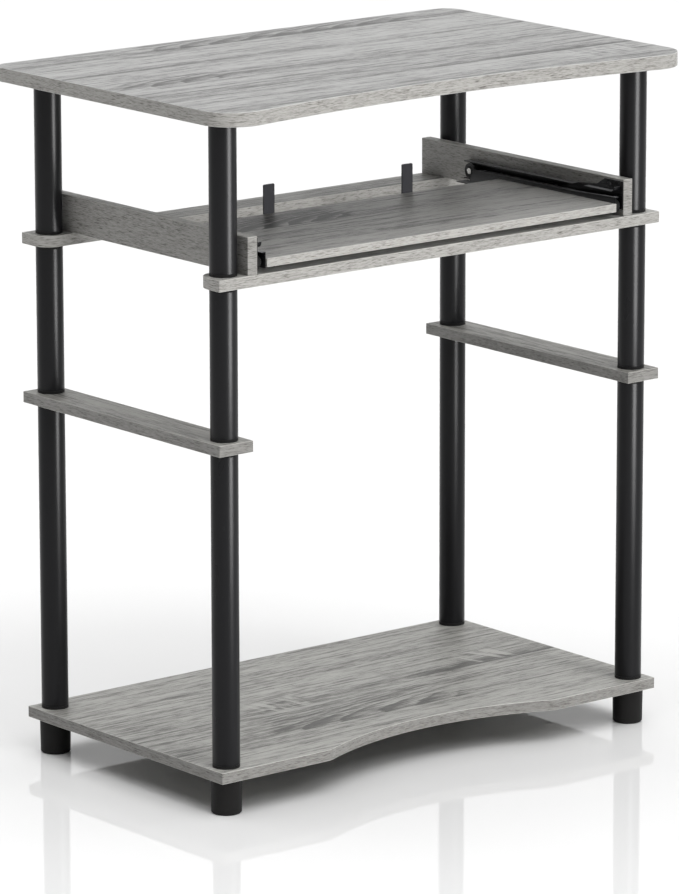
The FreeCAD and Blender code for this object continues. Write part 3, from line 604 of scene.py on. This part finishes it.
MARKS, MARKS_DETAIL, MARKS_SHARE = (60.0, 60.0, 900.0), 3.0, 0.4
RUBBED, RUBBED_DETAIL, RUBBED_SHARE = (90.0, 90.0, 90.0), 2.0, 0.3
RUBBED_SHADE, RUBBED_GLOSS = 0.6, 0.15
MARKS_RELIEF, MARKS_DEPTH = 0.1, 0.0001


def metal(name, colour, gloss):
    """Plated or painted steel with fine drawing marks and small rubbed spots."""
    material, wire, shader = new_finish(name, Metallic=1.0)
    marks = mottle(wire, MARKS, MARKS_DETAIL)
    spots = mottle(wire, RUBBED, RUBBED_DETAIL)
    darker = [part * RUBBED_SHADE for part in colour]
    shade = wire.mix(marks * MARKS_SHARE + spots * RUBBED_SHARE, (*colour, 1.0), (*darker, 1.0))
    bump = wire.add("Bump", {"Height": marks, "Strength": MARKS_RELIEF, "Distance": MARKS_DEPTH})
    wire.feed(shader, {"Base Color": shade, "Roughness": spots * RUBBED_GLOSS + gloss, "Normal": bump})
    return material


zinc = metal("zinc_steel", colour=(0.62, 0.63, 0.65), gloss=0.3)
dress("board_studs", zinc)
dress("top_studs", zinc)

# ---------------------------------------------------------------- roller slides
# Pressed steel roller slides with a glossy black lacquer: a channel screwed to each panel and a
# runner under each end of the tray.  Nickel rivets hold the moulded rollers.

LACQUER = (0.004, 0.004, 0.0045, 1.0)
LACQUER_RUBBED = (0.02, 0.02, 0.022, 1.0)
# Up-facing faces are painted a paler grey: a painted sheen where light catches the flange tops.
LEDGE_PAINTED_SHEEN = (0.22, 0.22, 0.226, 1.0)
DRIFT, DRIFT_DETAIL, DRIFT_SHARE = (40.0, 12.0, 40.0), 3.0, 0.2
FINE_PEEL, FINE_PEEL_DETAIL, FINE_PEEL_RELIEF = (700.0, 700.0, 700.0), 2.0, 0.1
RUB, RUB_DETAIL, RUB_STEP, RUB_SHARE = (300.0, 25.0, 300.0), 3.0, (0.6, 0.8), 0.4
LACQUER_GLOSS, DRIFT_GLOSS, RUB_GLOSS = 0.2, 0.12, 0.1
PAINTED_SHEEN_STEP, PAINTED_SHEEN_SHARE, PAINTED_SHEEN_DRIFT = (0.55, 0.9), 0.45, 0.5

slide_black, wire, shader = new_finish("slide_black", Specular_IOR_Level=SATIN_SPECULAR)
drift = mottle(wire, DRIFT, DRIFT_DETAIL)
peel = mottle(wire, FINE_PEEL, FINE_PEEL_DETAIL)
rub = mottle(wire, RUB, RUB_DETAIL).step(*RUB_STEP)
# Mask of the up-facing faces that get the painted sheen.
painted_sheen_mask = wire.add("NewGeometry", output="Normal").split()[2].step(*PAINTED_SHEEN_STEP)
shade = wire.mix(rub * RUB_SHARE + drift * DRIFT_SHARE, LACQUER, LACQUER_RUBBED)
shade = wire.mix(painted_sheen_mask * (PAINTED_SHEEN_SHARE + drift * PAINTED_SHEEN_DRIFT), shade, LEDGE_PAINTED_SHEEN)
bump = wire.add("Bump", {"Height": peel, "Strength": FINE_PEEL_RELIEF, "Distance": PEEL_DEPTH})
rough = drift * DRIFT_GLOSS + LACQUER_GLOSS + rub * RUB_GLOSS
wire.feed(shader, {"Base Color": shade, "Roughness": rough, "Normal": bump})

MERGE = 1e-6
PRESSED_EDGE = 0.00045
PRESSED_STEPS = 3
SHARP = math.radians(35.0)


def softened(name, node, material, body):
    """A copy of a pressed part's mesh, merged, with its cut edges rounded over."""
    mesh = nodes[node].data.copy()
    mesh.name = name
    mesh.materials.clear()
    shell = bmesh.new()
    shell.from_mesh(mesh)
    bmesh.ops.remove_doubles(shell, verts=shell.verts, dist=MERGE)
    shell.to_mesh(mesh)
    shell.free()
    piece = make_piece(name, mesh, material, body, node)
    bevel = piece.modifiers.new("rounded_edges", "BEVEL")
    bevel.width = PRESSED_EDGE
    bevel.segments = PRESSED_STEPS
    bevel.limit_method = "ANGLE"
    bevel.angle_limit = SHARP
    bevel.harden_normals = True


for side in ("left", "right"):
    softened(f"slide_channel_{side}", f"cabinet_rail_{side}", slide_black, "frame")
    softened(f"slide_runner_{side}", f"drawer_rail_{side}", slide_black, "tray")

roller_black = satin_black("roller_black", shade=(0.011, 0.011, 0.011), gloss=0.25)
nickel = metal("nickel_steel", colour=(0.75, 0.74, 0.72), gloss=0.18)
for row in ("front", "rear"):
    dress(f"{row}_roller_rivets", nickel)
    for side in ("left", "right"):
        dress(f"{row}_roller_{side}", roller_black)

# ---------------------------------------------------------------- keyboard stops
# Two flat steel tabs, painted dark grey, are screwed to the tray's rear edge.  They stand up
# behind the keyboard and keep it on the tray.

stop_grey = satin_black("stop_grey", shade=(0.048, 0.048, 0.053), gloss=0.45)
dress("keyboard_stop_left", stop_grey)
dress("keyboard_stop_right", stop_grey)

# ---------------------------------------------------------------- screws
# Cross-head wood screws.  Black ones hold the stops and the channels, zinc ones the runners and
# the panels.

screw_black = metal("screw_black", colour=(0.05, 0.05, 0.052), gloss=0.35)
dress("stop_screws", screw_black)
dress("drawer_rail_screws", zinc)
dress("cabinet_rail_screws", screw_black)
dress("panel_screws", zinc)
